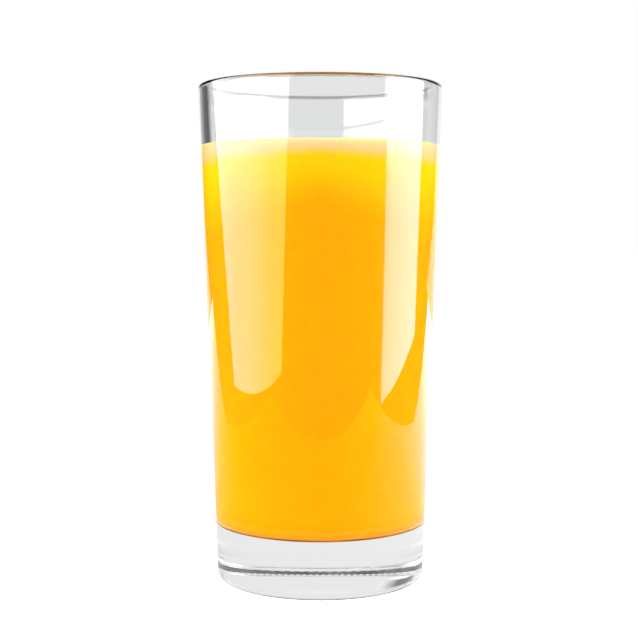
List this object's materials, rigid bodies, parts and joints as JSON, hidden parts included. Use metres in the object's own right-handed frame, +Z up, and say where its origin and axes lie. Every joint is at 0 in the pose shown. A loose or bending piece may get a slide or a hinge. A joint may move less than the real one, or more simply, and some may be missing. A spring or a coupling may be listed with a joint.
{
  "type": "glass of orange juice",
  "caption": "Tall clear tumbler with a thick base, a gently tapered side and a rounded rim, filled with opaque orange juice to a little below the rim.",
  "frame": {"origin": "centre of the bearing ring, on the surface that the tumbler stands on", "axes": "+Z up along the tumbler's axis, which is its axis of symmetry and its longest dimension"},
  "size_m": [0.07, 0.07, 0.143],
  "materials": {
    "clear_glass": "clear, fire-polished",
    "orange_juice": "opaque juice with fine pulp, wet surface"
  },
  "bodies": {
    "root": {"tumbler": "clear_glass", "orange_juice": "orange_juice"}
  },
  "joints": []
}
